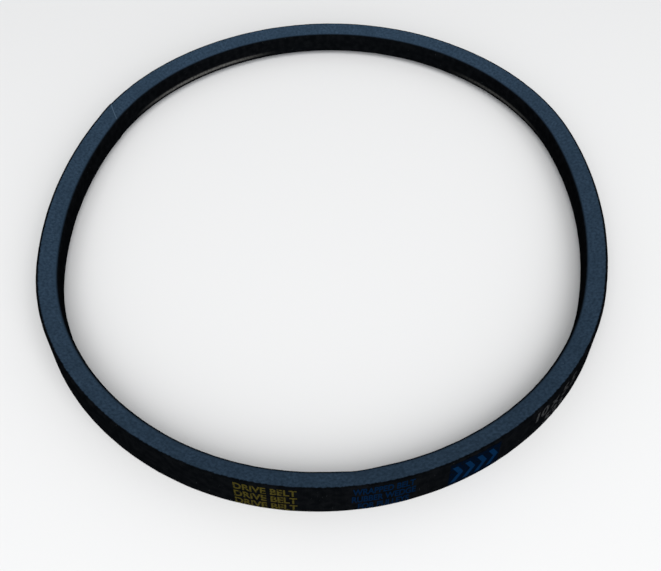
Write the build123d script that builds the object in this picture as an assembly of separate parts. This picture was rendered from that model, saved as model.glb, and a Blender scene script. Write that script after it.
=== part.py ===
from build123d import *
import os
from math import cos, pi, radians, sin, tan

# A wrapped rubber V-belt of the narrow 10 mm section, lying on its side as a relaxed oval loop.
# Millimetres. The origin is the middle of the loop, +Z is the axis that its pulleys turn about,
# +Y is the long way of the oval, and "front" is the -Y end.

# Belt section, measured from the back (the outer face) inwards
TOP_WIDTH = 10.0
THICKNESS = 5.5
WEDGE_ANGLE = 40.0
BACK_CORNER_RADIUS = 0.5
BASE_CORNER_RADIUS = 1.1

# Layers under the fabric cover, as depths from the back
COVER_THICKNESS = 0.5
CORD_RUBBER_TOP = 1.0
CORD_RUBBER_BASE = 2.1

# Tension cord: one cord wound round and round, so a cut shows its turns side by side
CORD_DEPTH = 1.5
CORD_DIAMETER = 0.8
CORD_TURNS = 7
CORD_PITCH = 1.05

# Loop: eight equal arcs, tight at the two ends of the oval and slack along its sides
OUTSIDE_LENGTH = 533.4
ARCS = 8
END_TURN = 55.0
SIDE_TURN = 27.5
CORNER_TURN = (360.0 - 2 * END_TURN - 2 * SIDE_TURN) / 4

# Lengths of belt between flex lines: name, turn in degrees, share of an arc. The back arc is in two
# halves, because the loop is opened in its middle, where the two halves never move apart.
LENGTHS = [
    ("front", END_TURN, 1.0),
    ("front_right", CORNER_TURN, 1.0),
    ("right", SIDE_TURN, 1.0),
    ("back_right", CORNER_TURN, 1.0),
    ("back_half_right", END_TURN / 2, 0.5),
    ("back_half_left", END_TURN / 2, 0.5),
    ("back_left", CORNER_TURN, 1.0),
    ("left", SIDE_TURN, 1.0),
    ("front_left", CORNER_TURN, 1.0),
]
OPENED_BEFORE = "back_half_left"

# Relief at each flex line: the rubber that the bend squeezes, left out as a shallow V either side
# of the cords, with its point on the cord line
RELIEF_AT_CORD = 0.03
RELIEF_ANGLE = 3.5
RELIEF_MARGIN = 1.0

CORD_LINE_LENGTH = OUTSIDE_LENGTH - 2 * pi * CORD_DEPTH
ARC_LENGTH = CORD_LINE_LENGTH / ARCS
FLANK_SLOPE = tan(radians(WEDGE_ANGLE / 2))
COVER_INSET = COVER_THICKNESS / cos(radians(WEDGE_ANGLE / 2))
CORE_BASE = THICKNESS - COVER_THICKNESS


def outward(heading):
    """Unit vector to the right of a heading in degrees: away from the loop's inside."""
    return Vector(sin(radians(heading)), -cos(radians(heading)), 0)


def cord_line():
    """Name, turn, radius, start point and start heading of each length, along the cord line."""
    point = Vector(0, 0, 0)
    heading = -END_TURN / 2
    lengths = []
    for name, turn, share in LENGTHS:
        radius = share * ARC_LENGTH / radians(turn)
        lengths.append((name, turn, radius, point, heading))
        centre = point - outward(heading) * radius
        heading += turn
        point = centre + outward(heading) * radius
    flex_points = [start for name, _, _, start, _ in lengths if name != OPENED_BEFORE]
    middle = sum(flex_points, Vector(0, 0, 0)) / len(flex_points)
    return [(name, turn, radius, start - middle, way) for name, turn, radius, start, way in lengths]


def wedge(top, base, inset, back_radius, base_radius):
    """Wedge-shaped face between two depths: x is the distance out from the cord line, y is up."""
    top_half = TOP_WIDTH / 2 - inset - top * FLANK_SLOPE
    base_half = TOP_WIDTH / 2 - inset - base * FLANK_SLOPE
    out = CORD_DEPTH - top
    inner = CORD_DEPTH - base
    outline = Polygon((out, -top_half), (out, top_half), (inner, base_half), (inner, -base_half), align=None)
    corners = outline.vertices().sort_by(Axis.X)
    outline = fillet(corners[2:], back_radius)
    base_corners = outline.vertices().sort_by(Axis.X)[:2]
    return fillet(base_corners, base_radius)


def band(top, base):
    """Rectangle across the whole belt between two depths."""
    across = Rectangle(base - top, 2 * TOP_WIDTH)
    return Pos(CORD_DEPTH - (top + base) / 2, 0) * across


def core_section():
    """Everything inside the cover."""
    back_radius = BACK_CORNER_RADIUS - COVER_THICKNESS / 2
    base_radius = BASE_CORNER_RADIUS - COVER_THICKNESS / 2
    return wedge(COVER_THICKNESS, CORE_BASE, COVER_INSET, back_radius, base_radius)


def cord_section():
    """The turns of the tension cord, side by side on the cord line."""
    return GridLocations(0, CORD_PITCH, 1, CORD_TURNS) * Circle(CORD_DIAMETER / 2)


def layer_sections():
    """Name and section of each layer of the belt."""
    outside = wedge(0, THICKNESS, 0, BACK_CORNER_RADIUS, BASE_CORNER_RADIUS)
    core = core_section()
    cords = Sketch() + cord_section()
    return [
        ("cover", outside - core),
        ("top_rubber", core & band(COVER_THICKNESS, CORD_RUBBER_TOP)),
        ("cord_rubber", (core & band(CORD_RUBBER_TOP, CORD_RUBBER_BASE)) - cords),
        ("tension_cords", cords),
        ("base_rubber", core & band(CORD_RUBBER_BASE, CORE_BASE)),
    ]


def bend(section, turn, radius, start, heading):
    """Swing a section round its own arc of the loop."""
    arc = revolve(Plane.XZ * Pos(radius, 0) * section, Axis.Z, turn)
    centre = start - outward(heading) * radius
    return Pos(centre) * Rot(0, 0, heading - 90) * arc


def relief(point, heading, angle):
    """The sliver left out across the belt where two lengths meet, opening by angle on each side."""
    over_back = CORD_DEPTH + RELIEF_MARGIN
    past_base = THICKNESS - CORD_DEPTH + RELIEF_MARGIN
    spread = tan(radians(angle))
    half_back = RELIEF_AT_CORD + over_back * spread
    half_base = RELIEF_AT_CORD + past_base * spread
    side = [(over_back, half_back), (0, RELIEF_AT_CORD), (-past_base, half_base)]
    other_side = [(out, -along) for out, along in reversed(side)]
    sliver = extrude(make_face(Polyline(*side, *other_side, close=True)), TOP_WIDTH, both=True)
    return Pos(point) * Rot(0, 0, heading - 90) * sliver


def main():
    os.makedirs("parts", exist_ok=True)
    lengths = cord_line()
    reliefs = []
    for name, _, _, start, heading in lengths:
        angle = 0 if name == OPENED_BEFORE else RELIEF_ANGLE
        reliefs.append(relief(start, heading, angle))
    for layer, section in layer_sections():
        for number, (place, turn, radius, start, heading) in enumerate(lengths):
            following = (number + 1) % len(lengths)
            length = bend(section, turn, radius, start, heading)
            piece = length - reliefs[number] - reliefs[following]
            piece.label = f"{layer}_{place}"
            export_step(piece, f"parts/{piece.label}.step")


main()
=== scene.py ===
import math

import bpy
import numpy as np
from mathutils import Matrix, Vector, noise


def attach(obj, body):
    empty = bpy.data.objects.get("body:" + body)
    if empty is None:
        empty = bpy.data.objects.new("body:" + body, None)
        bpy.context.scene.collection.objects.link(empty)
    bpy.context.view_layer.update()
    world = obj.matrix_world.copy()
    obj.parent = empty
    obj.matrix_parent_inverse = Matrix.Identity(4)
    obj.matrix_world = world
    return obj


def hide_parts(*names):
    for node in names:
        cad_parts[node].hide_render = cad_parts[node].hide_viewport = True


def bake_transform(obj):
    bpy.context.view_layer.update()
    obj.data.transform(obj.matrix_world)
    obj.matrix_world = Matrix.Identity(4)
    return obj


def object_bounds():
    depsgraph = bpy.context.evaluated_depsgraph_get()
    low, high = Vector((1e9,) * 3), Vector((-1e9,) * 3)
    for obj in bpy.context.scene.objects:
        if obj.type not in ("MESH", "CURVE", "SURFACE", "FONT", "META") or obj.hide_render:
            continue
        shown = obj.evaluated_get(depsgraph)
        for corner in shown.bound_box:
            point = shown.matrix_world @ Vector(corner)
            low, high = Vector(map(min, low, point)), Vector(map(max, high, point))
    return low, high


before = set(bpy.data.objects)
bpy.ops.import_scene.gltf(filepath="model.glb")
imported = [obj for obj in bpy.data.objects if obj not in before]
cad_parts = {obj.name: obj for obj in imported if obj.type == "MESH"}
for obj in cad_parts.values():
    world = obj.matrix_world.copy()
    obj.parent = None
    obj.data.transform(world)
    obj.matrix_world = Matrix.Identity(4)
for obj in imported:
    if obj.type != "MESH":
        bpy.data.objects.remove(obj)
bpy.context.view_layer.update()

MM = 0.001

# Section of the belt, in millimetres: "out" is measured from the cord line, away from the loop
TOP_WIDTH = 10.0
THICKNESS = 5.5
WEDGE_ANGLE = 40.0
FLANK_SLOPE = math.tan(math.radians(WEDGE_ANGLE / 2))
CORD_DEPTH = 1.5
BACK_CORNER = 0.5
BASE_CORNER = 1.1

# The visible cover is a little thinner than the CAD one, so that it clears the layers under it
COVER_THICKNESS = 0.42

# Loop: eight equal arcs, the front one first, anticlockwise seen from above. Distances along it
# are counted from the middle of the front
ARCS = 8
OUTSIDE_LENGTH = 533.4
CORD_LINE = OUTSIDE_LENGTH - 2 * math.pi * CORD_DEPTH
ARC = CORD_LINE / ARCS
END_TURN = 55.0
SIDE_TURN = 27.5
CORNER_TURN = (360.0 - 2 * END_TURN - 2 * SIDE_TURN) / 4
TURNS = [END_TURN, CORNER_TURN, SIDE_TURN, CORNER_TURN] * 2

# Bodies on either side of each flex line, in the same order
FLEX_PAIRS = [
    ("front", "front_right"),
    ("front_right", "right"),
    ("right", "back_right"),
    ("back_right", "back_half_right"),
    ("back_half_left", "back_left"),
    ("back_left", "left"),
    ("left", "front_left"),
    ("front_left", "front"),
]

# CAD covers that each built length replaces, by the body after its flex line
COVER_NODES = {
    "front_right": ["cover_front"],
    "right": ["cover_front_right"],
    "back_right": ["cover_right"],
    "back_half_right": ["cover_back_right", "cover_back_half_right"],
    "back_left": ["cover_back_half_left"],
    "left": ["cover_back_left"],
    "front_left": ["cover_left"],
    "front": ["cover_front_left"],
}

# How far either side of a flex line the cover bends
FLEX_REACH = 28.0

# Fineness of the cover's mesh
STATIONS = 110
OUTLINE_STEP = 0.25

# Relief in the cover: ripple and grain, the lap on the base and the splice across the belt
RIPPLE = 0.035
RIPPLE_SIZE = 3.0
GRAIN = 0.012
GRAIN_SIZE = 0.7
LAP_HEIGHT = 0.12
LAP_FROM_MIDDLE = 1.5
SPLICE_AT = 349.5
SPLICE_SLANT = 1.0
SPLICE_HEIGHT = 0.14
SPLICE_RISE = 0.7
SPLICE_LENGTH = 9.0

# Dents in the upper base edge: distance along the loop, half length and depth
DENTS = [(13.5, 3.5, 0.24), (352.0, 1.4, 0.30)]
DENT_HALF_WIDTH = 0.9

# Fabric colours
DUSTY = (0.034, 0.060, 0.096, 1)
DUSTY_DARK = (0.016, 0.030, 0.049, 1)
SPLICE_PALE = (0.115, 0.180, 0.250, 1)
BLACK = (0.0016, 0.0020, 0.0025, 1)
BLACK_WORN = (0.0034, 0.0039, 0.0046, 1)
THREAD_SHADE = (0.0004, 0.0005, 0.0007, 1)
LINT = (0.22, 0.24, 0.25, 1)
# Painted reflection: the pale grey of the floor's reflection, laid as base colour in a stripe on the base
# above its lower corner
PAINTED_REFLECTION = (0.170, 0.168, 0.160, 1)

# Fabric noises, as cells to a millimetre, and the number of weaves that fits round the loop
WEAVES_ROUND_LOOP = 880
FINE_SCALE = 1.3
PATCH_SCALE = 0.16
WORN_SCALE = 0.5
LINT_SCALE = 2.6

# How strongly each tints the fabric, from 0 to 1
WEAVE_ON_FLANK = 0.3
PATCHES_ON_FLANK = 0.35
THREADS_ON_FACE = 0.5
SPLICE_STRENGTH = 0.35
LINT_STRENGTH = 0.3

# How far a noise frays the flanks' edges, the depth of the fabric's bump and the weave's part in it
FRAY = 0.5
FABRIC_BUMP = 0.07
WEAVE_IN_BUMP = 0.45

# Stretches where a reflection of the floor is painted as a pale stripe on the base above its lower
# corner: start and end along the loop, strength
PAINTED_REFLECTION_STRETCHES = [(168.0, 222.0, 0.30), (286.0, 352.0, 0.60)]
PAINTED_REFLECTION_FADE = 24.0
PAINTED_REFLECTION_ABOVE_CORNER = 0.65
PAINTED_REFLECTION_HALF_WIDTH = 0.8

# Inks, dark to suit the near-black fabric, and the noises that wear and roughen them
YELLOW_INK = (0.036, 0.030, 0.006, 1)
BLUE_INK = (0.0008, 0.0062, 0.0200, 1)
PANEL_INK = (0.0004, 0.0024, 0.0075, 1)
BRIGHT_BLUE_INK = (0.0012, 0.0105, 0.0330, 1)
WHITE_INK = (0.024, 0.025, 0.026, 1)
INK_WEAR_SCALE = 1.6
INK_WEAR_EDGE = 0.18
INK_GRAIN_SCALE = 4.0
INK_GRAIN_DEPTH = 0.02
INK_ROUGHNESS = 0.6

# Rubbers and cord inside the cover, with texture scales to a metre
TOP_RUBBER = (0.012, 0.012, 0.013, 1)
CORD_RUBBER = (0.022, 0.020, 0.018, 1)
BASE_RUBBER = (0.009, 0.009, 0.010, 1)
RUBBER_LIGHTER = 1.8
RUBBER_GRAIN_SCALE = 900.0
RUBBER_ROUGHNESS = 0.7
CORD_DARK = (0.42, 0.38, 0.30, 1)
CORD_PALE = (0.72, 0.69, 0.60, 1)
CORD_TWIST_SCALE = 450.0
CORD_ROUGHNESS = 0.55
INSIDE_GRAIN_DEPTH = 0.05

# Ink marks on the back: how proud they lie, and the lettering's boldness and line spacing
INK_LIFT = 0.05
LETTER_BOLDNESS = 0.03
LINE_SPACING = 0.92
PANEL_STEP = 1.0

# Where the middle of each mark lies along the loop, and its length and height
YELLOW_PRINT_AT = -6.3
YELLOW_PRINT_SIZE = (13.2, 8.6)
SMALL_PRINT_AT = 18.2
SMALL_PRINT_SIZE = (13.5, 8.6)
PANEL_AT = 39.0
PANEL_SIZE = (12.8, 8.6)
CHEVRONS_SIZE = (12.0, 6.2)
CHEVRON_COUNT = 4
CHEVRON_THICKNESS = 1.3
SIZE_PRINT_AT = 64.5
SIZE_PRINT_SIZE = (16.0, 8.4)

# Stage, in metres and watts
FLOOR_HALF = 4.0
FLOOR_COLOUR = (0.80, 0.80, 0.80, 1)
FLOOR_ROUGHNESS = 0.9
KEY_PLACE = (0.3, -1.3, 0.9)
KEY_SIZE = 2.2
KEY_POWER = 50.0
WORLD_COLOUR = (0.97, 0.985, 1.0, 1)
WORLD_STRENGTH = 0.45

# Camera: degrees round and up that it looks from, metres away, where it is aimed, and its lens
CAMERA_FROM = 3.7
CAMERA_UP = 47.45
CAMERA_DISTANCE = 0.2116
CAMERA_AIM = (0.0033, -0.0304, 0.0)
CAMERA_LENS = 44.6
SENSOR = 36.0
CLIP_START = 0.01


def smooth(x):
    """0 below 0, 1 above 1, and a smooth step between."""
    x = np.clip(x, 0, 1)
    return x * x * (3 - 2 * x)


def outward(heading):
    """Unit vector away from the loop's inside, for a heading in radians."""
    return np.array([math.sin(heading), -math.cos(heading)])


def arc_starts():
    """Start point and heading of each arc of the cord line, in millimetres and radians."""
    point = np.zeros(2)
    heading = -math.radians(END_TURN) / 2
    starts = []
    for turn in TURNS:
        starts.append((point, heading))
        radius = ARC / math.radians(turn)
        centre = point - outward(heading) * radius
        heading += math.radians(turn)
        point = centre + outward(heading) * radius
    middle = sum(start for start, _ in starts) / ARCS
    return [(start - middle, way) for start, way in starts]


ARC_STARTS = arc_starts()


def along_loop(distance):
    """Point on the cord line and heading, at a distance from the middle of the front."""
    number, rest = divmod((distance + ARC / 2) % CORD_LINE, ARC)
    start, heading = ARC_STARTS[int(number) % ARCS]
    turn = math.radians(TURNS[int(number) % ARCS])
    radius = ARC / turn
    centre = start - outward(heading) * radius
    here = heading + turn * rest / ARC
    return centre + outward(here) * radius, here


def rounded_run(corners, radii):
    """Points round a closed outline of straight runs whose corners are rounded, about a step apart."""
    points = []
    count = len(corners)
    previous_end = None
    first = None
    for number, radius in enumerate(radii):
        corner = np.array(corners[number])
        back = np.array(corners[number - 1]) - corner
        ahead = np.array(corners[(number + 1) % count]) - corner
        back /= np.linalg.norm(back)
        ahead /= np.linalg.norm(ahead)
        half = math.acos(np.clip(back @ ahead, -1, 1)) / 2
        reach = radius / math.tan(half)
        middle = corner + (back + ahead) / np.linalg.norm(back + ahead) * radius / math.sin(half)
        start = corner + back * reach
        end = corner + ahead * reach
        if previous_end is not None:
            points += straight(previous_end, start)
        sweep = math.pi - 2 * half
        steps = max(3, round(sweep * radius / OUTLINE_STEP) + 2)
        for step in range(steps):
            turned = sweep * step / steps
            from_start = math.sin(sweep - turned) * (start - middle)
            from_end = math.sin(turned) * (end - middle)
            points.append(middle + (from_start + from_end) / math.sin(sweep))
        previous_end = end
        first = start if first is None else first
    return points + straight(previous_end, first)


def straight(start, end):
    """Points from start up to, but not at, end."""
    steps = max(2, round(np.linalg.norm(end - start) / OUTLINE_STEP))
    return [start + (end - start) * step / steps for step in range(steps)]


def outline():
    """The section's outline as (out, up) points, from the middle of the base, down and round."""
    base = CORD_DEPTH - THICKNESS
    base_half = TOP_WIDTH / 2 - THICKNESS * FLANK_SLOPE
    corners = [
        (base, -base_half),
        (CORD_DEPTH, -TOP_WIDTH / 2),
        (CORD_DEPTH, TOP_WIDTH / 2),
        (base, base_half),
    ]
    points = rounded_run(corners, [BASE_CORNER, BACK_CORNER, BACK_CORNER, BASE_CORNER])
    on_base = [i for i, point in enumerate(points) if point[0] < base + OUTLINE_STEP / 10]
    middle = min(on_base, key=lambda i: abs(points[i][1]))
    return np.array(points[middle:] + points[:middle])


def around_lengths(points):
    """Distance round the outline of each point, counted from the middle of the back."""
    steps = np.linalg.norm(np.roll(points, -1, 0) - points, axis=1)
    reached = np.concatenate([[0], np.cumsum(steps)])
    return reached - reached[-1] / 2


OUTLINE = outline()
AROUND = around_lengths(OUTLINE)
HALF_ROUND = AROUND[-1]
FLANK = math.atan(FLANK_SLOPE)
BACK_TURN = math.pi / 2 + FLANK
BASE_TURN = math.pi / 2 - FLANK
BACK_REACH = BACK_CORNER * math.tan(BACK_TURN / 2)
BASE_REACH = BASE_CORNER * math.tan(BASE_TURN / 2)
FLANK_STARTS = TOP_WIDTH / 2 - BACK_REACH + BACK_CORNER * BACK_TURN
FLANK_ENDS = FLANK_STARTS + THICKNESS / math.cos(FLANK) - BACK_REACH - BASE_REACH
BASE_STARTS = FLANK_ENDS + BASE_CORNER * BASE_TURN


def loop_grid(outline_points):
    """Points of the whole loop in millimetres: one row for each station, one column round the section."""
    rows = []
    for station in range(ARCS * STATIONS):
        point, heading = along_loop(CORD_LINE * station / (ARCS * STATIONS))
        out = outward(heading)
        flat = point + outline_points[:, :1] * out
        rows.append(np.column_stack([flat, outline_points[:, 1]]))
    return np.array(rows)


def grid_normals(grid):
    """Unit normals of a grid that closes on itself both ways."""
    along = np.roll(grid, -1, 0) - np.roll(grid, 1, 0)
    across = np.roll(grid, -1, 1) - np.roll(grid, 1, 1)
    normals = np.cross(along, across)
    return normals / np.linalg.norm(normals, axis=2, keepdims=True)


def relief_height(grid):
    """How far the fabric stands proud of the plain section at each point of the grid."""
    flat = grid.reshape(-1, 3)
    ripple = [noise.noise(Vector(p / RIPPLE_SIZE)) for p in flat]
    grain = [noise.noise(Vector(p / GRAIN_SIZE)) for p in flat]
    height = (RIPPLE * np.array(ripple) + GRAIN * np.array(grain)).reshape(grid.shape[:2])
    around = AROUND[:-1][None, :]
    past_middle = HALF_ROUND + around
    past_edge = (past_middle - LAP_FROM_MIDDLE) / OUTLINE_STEP
    lap = smooth(past_middle / LAP_FROM_MIDDLE) * smooth(1 - past_edge)
    distance = np.arange(len(grid))[:, None] * CORD_LINE / len(grid)
    past_splice = distance - SPLICE_AT - SPLICE_SLANT * np.abs(around)
    splice = smooth(past_splice / SPLICE_RISE) * (1 - smooth(past_splice / SPLICE_LENGTH))
    height += LAP_HEIGHT * lap + SPLICE_HEIGHT * splice
    off_edge = (around - (FLANK_ENDS + BASE_STARTS) / 2) / DENT_HALF_WIDTH
    for place, half_length, depth in DENTS:
        height -= depth * np.exp(-(((distance - place) / half_length) ** 2) - off_edge**2)
    return height


def skin_mesh(name, outer, inner, normals, distances):
    """A closed length of the cover between two stations, with its distances as the Belt UV map in mm."""
    rows, columns = outer.shape[:2]
    points = np.concatenate([outer.reshape(-1, 3), inner.reshape(-1, 3)]) * MM
    base = rows * columns
    faces = []
    belt = []
    for row in range(rows - 1):
        for column in range(columns):
            after = (column + 1) % columns
            ring = [(row, column), (row + 1, column), (row + 1, after), (row, after)]
            faces.append([r * columns + c for r, c in ring])
            faces.append([base + r * columns + c for r, c in reversed(ring)])
            corners = [
                (distances[row], AROUND[column]),
                (distances[row + 1], AROUND[column]),
                (distances[row + 1], AROUND[column + 1]),
                (distances[row], AROUND[column + 1]),
            ]
            belt += corners
            belt += reversed(corners)
    for row, turned in ((0, False), (rows - 1, True)):
        for column in range(columns):
            after = (column + 1) % columns
            ring = [
                row * columns + column,
                row * columns + after,
                base + row * columns + after,
                base + row * columns + column,
            ]
            faces.append(ring[::-1] if turned else ring)
            belt += [(distances[row], AROUND[column])] * 4
    mesh = bpy.data.meshes.new(name)
    mesh.from_pydata(points.tolist(), [], faces)
    layer = mesh.uv_layers.new(name="Belt")
    layer.data.foreach_set("uv", np.array(belt, dtype=np.float32).ravel())
    mesh.shade_smooth()
    both = np.concatenate([normals.reshape(-1, 3), -normals.reshape(-1, 3)])
    mesh.normals_split_custom_set_from_vertices(both.tolist())
    return mesh


def add(tree, kind, inputs=None, **settings):
    """A new node, with each input set to a value or linked from a socket."""
    made = tree.nodes.new(kind)
    for name, value in settings.items():
        setattr(made, name, value)
    for name, value in (inputs or {}).items():
        if isinstance(value, bpy.types.NodeSocket):
            tree.links.new(value, made.inputs[name])
        else:
            made.inputs[name].default_value = value
    return made


def maths(tree, operation, first, second=0.0):
    """The output of a Math node."""
    return add(tree, "ShaderNodeMath", {0: first, 1: second}, operation=operation).outputs[0]


def step_up(tree, value, low, high):
    """0 where value is below low, 1 above high, smooth between."""
    settings = {"Value": value, "From Min": low, "From Max": high}
    made = add(tree, "ShaderNodeMapRange", settings, interpolation_type="SMOOTHSTEP")
    return made.outputs["Result"]


def mixed(tree, share, first, second):
    """Colour between first and second."""
    made = add(tree, "ShaderNodeMix", data_type="RGBA")
    for socket, value in ((made.inputs[0], share), (made.inputs[6], first), (made.inputs[7], second)):
        if isinstance(value, bpy.types.NodeSocket):
            tree.links.new(value, socket)
        else:
            socket.default_value = value
    return made.outputs[2]


def mottle(tree, place, scale, detail=3.0):
    """Noise, mostly between 0.3 and 0.7."""
    inputs = {"Vector": place, "Scale": scale, "Detail": detail}
    return add(tree, "ShaderNodeTexNoise", inputs).outputs[0]


def new_material(name):
    """A material with an empty tree but for its Principled shader and output."""
    material = bpy.data.materials.new(name)
    material.use_nodes = True
    tree = material.node_tree
    tree.nodes.clear()
    shader = add(tree, "ShaderNodeBsdfPrincipled")
    add(tree, "ShaderNodeOutputMaterial", {"Surface": shader.outputs[0]})
    return material, tree, shader


def belt_place(tree):
    """The Belt map's place in millimetres, and its distances along and round."""
    place = add(tree, "ShaderNodeUVMap", uv_map="Belt").outputs[0]
    split = add(tree, "ShaderNodeSeparateXYZ", {0: place})
    return place, split.outputs[0], split.outputs[1]


def set_bump(tree, shader, height, distance):
    """Roughen a shader's surface by a height, up to a distance in metres."""
    bump = add(tree, "ShaderNodeBump", {"Height": height, "Distance": distance, "Strength": 1.0})
    tree.links.new(bump.outputs[0], shader.inputs["Normal"])


def weave_height(tree, along, around):
    """Plain weave cut on the bias, from -1 to 1; its period fits round the loop."""
    beat = 2 * math.pi * WEAVES_ROUND_LOOP / CORD_LINE
    one_way = maths(tree, "SINE", maths(tree, "MULTIPLY", maths(tree, "ADD", along, around), beat))
    other_way = maths(tree, "SINE", maths(tree, "MULTIPLY", maths(tree, "SUBTRACT", along, around), beat))
    return maths(tree, "MULTIPLY", one_way, other_way)


def dusty_share(tree, around, frayed):
    """1 on the flanks and 0 on the back and base, with edges that a noise frays."""
    from_back = maths(tree, "ADD", maths(tree, "ABSOLUTE", around), maths(tree, "MULTIPLY", frayed, FRAY))
    starts = step_up(tree, from_back, FLANK_STARTS + 0.05, FLANK_STARTS + 0.45)
    ends = step_up(tree, from_back, FLANK_ENDS - 0.1, FLANK_ENDS + 0.7)
    return maths(tree, "SUBTRACT", starts, ends)


def splice_share(tree, along, around):
    """1 on the pale edge of the cover's splice."""
    slant = maths(tree, "MULTIPLY", maths(tree, "ABSOLUTE", around), SPLICE_SLANT)
    past = maths(tree, "SUBTRACT", maths(tree, "SUBTRACT", along, SPLICE_AT), slant)
    off_line = maths(tree, "ABSOLUTE", maths(tree, "SUBTRACT", past, SPLICE_RISE / 2))
    return maths(tree, "SUBTRACT", 1.0, step_up(tree, off_line, 0.1, 0.4))


def painted_reflection_share(tree, along, around, frayed):
    """1 where a reflection is painted pale on the base, just above its lower corner."""
    off_edge = maths(tree, "ABSOLUTE", maths(tree, "ADD", around, BASE_STARTS + PAINTED_REFLECTION_ABOVE_CORNER))
    across = maths(tree, "SUBTRACT", 1.0, step_up(tree, off_edge, 0.1, PAINTED_REFLECTION_HALF_WIDTH))
    lengthwise = 0.0
    for start, end, strength in PAINTED_REFLECTION_STRETCHES:
        rises = step_up(tree, along, start, start + PAINTED_REFLECTION_FADE)
        falls = step_up(tree, along, end - PAINTED_REFLECTION_FADE, end)
        stretch = maths(tree, "MULTIPLY", maths(tree, "SUBTRACT", rises, falls), strength)
        lengthwise = maths(tree, "ADD", stretch, lengthwise)
    patchy = step_up(tree, frayed, 0.1, 0.7)
    return maths(tree, "MULTIPLY", maths(tree, "MULTIPLY", across, lengthwise), patchy)


def flank_colour(tree, place, weave, fine):
    """Dusty blue-grey, darker on the threads and in broad patches."""
    threads = maths(tree, "MULTIPLY", step_up(tree, weave, -0.6, 0.9), WEAVE_ON_FLANK)
    patches = step_up(tree, mottle(tree, place, PATCH_SCALE), 0.4, 0.7)
    colour = mixed(tree, step_up(tree, fine, 0.25, 0.75), DUSTY_DARK, DUSTY)
    colour = mixed(tree, threads, colour, DUSTY_DARK)
    return mixed(tree, maths(tree, "MULTIPLY", patches, PATCHES_ON_FLANK), colour, DUSTY_DARK)


def face_colour(tree, place, weave):
    """The black of the back and base, worn in patches, with darker threads."""
    threads = maths(tree, "MULTIPLY", step_up(tree, weave, -0.2, 0.9), THREADS_ON_FACE)
    worn = step_up(tree, mottle(tree, place, WORN_SCALE, detail=6.0), 0.35, 0.70)
    return mixed(tree, threads, mixed(tree, worn, BLACK, BLACK_WORN), THREAD_SHADE)


def fabric_colour(tree):
    """Colour, weave and fine noise of the rubbered fabric."""
    place, along, around = belt_place(tree)
    weave = weave_height(tree, along, around)
    fine = mottle(tree, place, FINE_SCALE, detail=5.0)
    flank = flank_colour(tree, place, weave, fine)
    pale = maths(tree, "MULTIPLY", splice_share(tree, along, around), SPLICE_STRENGTH)
    flank = mixed(tree, pale, flank, SPLICE_PALE)
    # A pale stripe of painted reflection over the black of the base, just above its lower corner
    face = mixed(tree, painted_reflection_share(tree, along, around, fine), face_colour(tree, place, weave), PAINTED_REFLECTION)
    colour = mixed(tree, dusty_share(tree, around, fine), face, flank)
    specks = step_up(tree, mottle(tree, place, LINT_SCALE, detail=1.0), 0.78, 0.82)
    colour = mixed(tree, maths(tree, "MULTIPLY", specks, LINT_STRENGTH), colour, LINT)
    return colour, weave, fine


def cover_material():
    """Matt rubbered fabric: black on the back and base, dusty blue-grey on the flanks."""
    material, tree, shader = new_material("cover_fabric")
    colour, weave, fine = fabric_colour(tree)
    tree.links.new(colour, shader.inputs["Base Color"])
    tree.links.new(step_up(tree, fine, -0.6, 1.1), shader.inputs["Roughness"])
    shader.inputs["Specular IOR Level"].default_value = 0.0
    height = maths(tree, "ADD", maths(tree, "MULTIPLY", weave, WEAVE_IN_BUMP), fine)
    set_bump(tree, shader, height, FABRIC_BUMP * MM)
    return material


def ink_material(name, colour, wear):
    """Transfer ink, worn through to the black where a noise is above wear."""
    material, tree, shader = new_material(name)
    place = add(tree, "ShaderNodeUVMap", uv_map="Belt").outputs[0]
    worn = step_up(tree, mottle(tree, place, INK_WEAR_SCALE, detail=5.0), wear, wear + INK_WEAR_EDGE)
    tree.links.new(mixed(tree, worn, colour, BLACK), shader.inputs["Base Color"])
    shader.inputs["Roughness"].default_value = INK_ROUGHNESS
    shader.inputs["Specular IOR Level"].default_value = 0.0
    set_bump(tree, shader, mottle(tree, place, INK_GRAIN_SCALE), INK_GRAIN_DEPTH * MM)
    return material


def rubber_material(name, colour):
    """Moulded rubber with a fine grain."""
    material, tree, shader = new_material(name)
    place = add(tree, "ShaderNodeTexCoord").outputs["Object"]
    grain = mottle(tree, place, RUBBER_GRAIN_SCALE)
    lighter = tuple(channel * RUBBER_LIGHTER for channel in colour[:3]) + (1,)
    speckled = mixed(tree, step_up(tree, grain, 0.4, 0.7), colour, lighter)
    tree.links.new(speckled, shader.inputs["Base Color"])
    shader.inputs["Roughness"].default_value = RUBBER_ROUGHNESS
    set_bump(tree, shader, grain, INSIDE_GRAIN_DEPTH * MM)
    return material


def cord_material():
    """Twisted polyester cord."""
    material, tree, shader = new_material("tension_cord")
    place = add(tree, "ShaderNodeTexCoord").outputs["Object"]
    inputs = {"Vector": place, "Scale": CORD_TWIST_SCALE}
    strands = add(tree, "ShaderNodeTexWave", inputs, bands_direction="DIAGONAL").outputs[1]
    tree.links.new(mixed(tree, strands, CORD_DARK, CORD_PALE), shader.inputs["Base Color"])
    shader.inputs["Roughness"].default_value = CORD_ROUGHNESS
    set_bump(tree, shader, strands, INSIDE_GRAIN_DEPTH * MM)
    return material


def dress_layers():
    """Materials for the layers inside the cover, which keep their CAD shape."""
    layers = {
        "top_rubber": rubber_material("top_rubber", TOP_RUBBER),
        "cord_rubber": rubber_material("cord_rubber", CORD_RUBBER),
        "base_rubber": rubber_material("base_rubber", BASE_RUBBER),
        "tension_cords": cord_material(),
    }
    for name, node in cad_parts.items():
        for layer, material in layers.items():
            if name.startswith(layer):
                node.data.materials.clear()
                node.data.materials.append(material)


def link(name, mesh, material):
    """A new object for a mesh."""
    mesh.materials.append(material)
    made = bpy.data.objects.new(name, mesh)
    bpy.context.scene.collection.objects.link(made)
    return made


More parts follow.
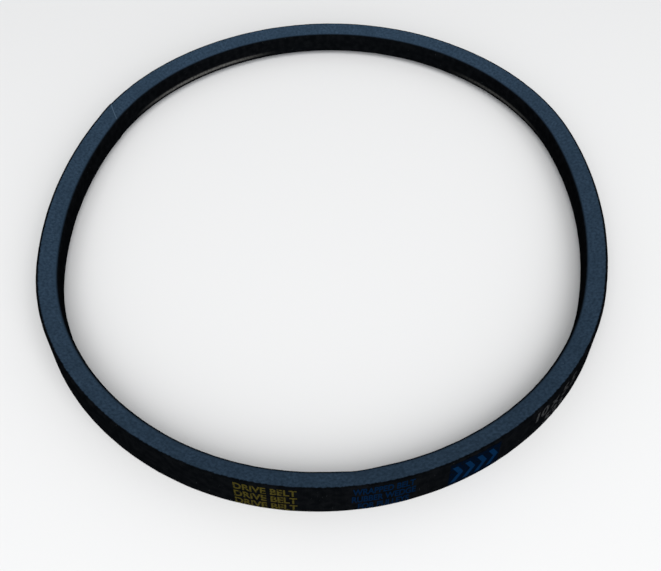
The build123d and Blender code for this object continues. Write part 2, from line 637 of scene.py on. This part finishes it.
def follow(piece, low, high):
    """Ride or blend a piece that lies between two distances, which may start before 0."""
    whole_turns = (low + high) / 2 // CORD_LINE * CORD_LINE
    low -= whole_turns
    high -= whole_turns
    number = int((low + high) / 2 // ARC)
    flex_at = (number + 0.5) * ARC
    before, after = FLEX_PAIRS[number]
    if high < flex_at - FLEX_REACH:
        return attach(piece, before)
    if low > flex_at + FLEX_REACH:
        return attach(piece, after)
    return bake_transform(piece)


def build_cover():
    """The fabric cover: eight lengths that meet where nothing bends."""
    grid = loop_grid(OUTLINE)
    plain = grid_normals(grid)
    outer = grid + plain * relief_height(grid)[:, :, None]
    normals = grid_normals(outer)
    inner = grid - plain * COVER_THICKNESS
    material = cover_material()
    stations = ARCS * STATIONS
    for number, (before, after) in enumerate(FLEX_PAIRS):
        first = number * STATIONS
        rows = np.arange(first, first + STATIONS + 1)
        distances = rows * CORD_LINE / stations
        rows = rows % stations
        name = f"cover_{before}_to_{after}"
        mesh = skin_mesh(name, outer[rows], inner[rows], normals[rows], distances)
        piece = link(name, mesh, material)
        follow(piece, distances[0], distances[-1])
        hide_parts(*COVER_NODES[after])


def on_back(distance, up, lift):
    """A point on the belt's back, in metres."""
    point, heading = along_loop(distance)
    flat = point + outward(heading) * (CORD_DEPTH + lift)
    return (*(flat * MM), up * MM)


def ink_piece(name, flat_points, faces, at, material, lift=INK_LIFT):
    """A flat ink mark laid on the back, with its middle at a distance along the loop."""
    mesh = bpy.data.meshes.new(name)
    mesh.from_pydata([on_back(at + x, y, lift) for x, y in flat_points], [], faces)
    layer = mesh.uv_layers.new(name="Belt")
    for corner in mesh.loops:
        x, y = flat_points[corner.vertex_index]
        layer.data[corner.index].uv = (at + x, y)
    piece = link(name, mesh, material)
    follow(piece, at + min(x for x, _ in flat_points), at + max(x for x, _ in flat_points))


def lettering(lines, width, height):
    """Points and faces of generic lettering, fitted to a width and height in millimetres."""
    words = bpy.data.curves.new("lettering", "FONT")
    words.body = "\n".join(lines)
    words.space_line = LINE_SPACING
    words.align_x = "CENTER"
    words.offset = LETTER_BOLDNESS
    holder = bpy.data.objects.new("lettering", words)
    bpy.context.scene.collection.objects.link(holder)
    mesh = bpy.data.meshes.new_from_object(holder)
    bpy.data.objects.remove(holder)
    points = np.array([vertex.co[:2] for vertex in mesh.vertices])
    low = points.min(0)
    size = points.max(0) - low
    points = ((points - low) / size - 0.5) * (width, height)
    return points.tolist(), [list(face.vertices) for face in mesh.polygons]


def panel(width, height):
    """Points and faces of a rectangle, in steps along the belt so that it bends with it."""
    steps = round(width / PANEL_STEP)
    points = []
    for step in range(steps + 1):
        x = (step / steps - 0.5) * width
        points += [(x, -height / 2), (x, height / 2)]
    return points, [[2 * s, 2 * s + 2, 2 * s + 3, 2 * s + 1] for s in range(steps)]


def chevrons(width, height):
    """Points and faces of a row of chevrons that point along the belt."""
    points = []
    faces = []
    pitch = width / CHEVRON_COUNT
    for number in range(CHEVRON_COUNT):
        left = -width / 2 + number * pitch
        right = left + CHEVRON_THICKNESS
        tip = left + pitch - CHEVRON_THICKNESS
        first = len(points)
        points += [(left, -height / 2), (right, -height / 2), (tip + CHEVRON_THICKNESS, 0), (tip, 0)]
        points += [(right, height / 2), (left, height / 2)]
        faces += [[first, first + 1, first + 2, first + 3], [first + 3, first + 2, first + 4, first + 5]]
    return points, faces


def build_marks():
    """Generic printing on the back: a yellow name, small print, a blue panel and a white size."""
    yellow = ink_material("yellow_ink", YELLOW_INK, wear=0.50)
    blue = ink_material("blue_ink", BLUE_INK, wear=0.60)
    panel_blue = ink_material("panel_ink", PANEL_INK, wear=0.48)
    bright_blue = ink_material("bright_blue_ink", BRIGHT_BLUE_INK, wear=0.58)
    white = ink_material("white_ink", WHITE_INK, wear=0.50)
    name_lines = ["DRIVE BELT"] * 3
    small_lines = ["WRAPPED BELT", "RUBBER WEDGE", "FOR PULLEYS"]
    size_lines = ["10 x 5.5", "533"]
    ink_piece("yellow_print", *lettering(name_lines, *YELLOW_PRINT_SIZE), YELLOW_PRINT_AT, yellow)
    ink_piece("small_print", *lettering(small_lines, *SMALL_PRINT_SIZE), SMALL_PRINT_AT, blue)
    ink_piece("blue_panel", *panel(*PANEL_SIZE), PANEL_AT, panel_blue)
    ink_piece("blue_chevrons", *chevrons(*CHEVRONS_SIZE), PANEL_AT, bright_blue, 2 * INK_LIFT)
    ink_piece("size_print", *lettering(size_lines, *SIZE_PRINT_SIZE), SIZE_PRINT_AT, white)


def build_stage():
    """Pale floor, a soft light in front and an even sky."""
    add_floor()
    add_key_light()
    world = bpy.data.worlds.new("world")
    world.use_nodes = True
    sky = world.node_tree.nodes["Background"]
    sky.inputs["Color"].default_value = WORLD_COLOUR
    sky.inputs["Strength"].default_value = WORLD_STRENGTH
    bpy.context.scene.world = world
    bpy.context.scene.view_settings.view_transform = "Standard"


def add_floor():
    """A pale floor at the height of the object's lowest point."""
    mesh = bpy.data.meshes.new("floor")
    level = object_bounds()[0][2]
    sides = [(-1, -1), (1, -1), (1, 1), (-1, 1)]
    corners = [(x * FLOOR_HALF, y * FLOOR_HALF, level) for x, y in sides]
    mesh.from_pydata(corners, [], [(0, 1, 2, 3)])
    material, _, shader = new_material("floor")
    shader.inputs["Base Color"].default_value = FLOOR_COLOUR
    shader.inputs["Roughness"].default_value = FLOOR_ROUGHNESS
    link("floor", mesh, material)


def add_key_light():
    """A large soft light in front, aimed at the origin."""
    light = bpy.data.lights.new("key", "AREA")
    light.size = KEY_SIZE
    light.energy = KEY_POWER
    lamp = bpy.data.objects.new("key", light)
    lamp.location = KEY_PLACE
    lamp.rotation_euler = (-Vector(KEY_PLACE)).to_track_quat("-Z", "Y").to_euler()
    bpy.context.scene.collection.objects.link(lamp)


def add_camera():
    """The camera, by the side and height that it looks from."""
    camera = bpy.data.objects.new("camera", bpy.data.cameras.new("camera"))
    camera.data.lens = CAMERA_LENS
    camera.data.sensor_width = SENSOR
    camera.data.clip_start = CLIP_START
    turn = Matrix.Rotation(math.radians(CAMERA_FROM), 4, "Z")
    tilt = Matrix.Rotation(math.radians(90 - CAMERA_UP), 4, "X")
    back = Matrix.Translation((0, 0, CAMERA_DISTANCE))
    camera.matrix_world = Matrix.Translation(CAMERA_AIM) @ turn @ tilt @ back
    bpy.context.scene.collection.objects.link(camera)
    bpy.context.scene.camera = camera


build_cover()
build_marks()
dress_layers()
build_stage()
add_camera()
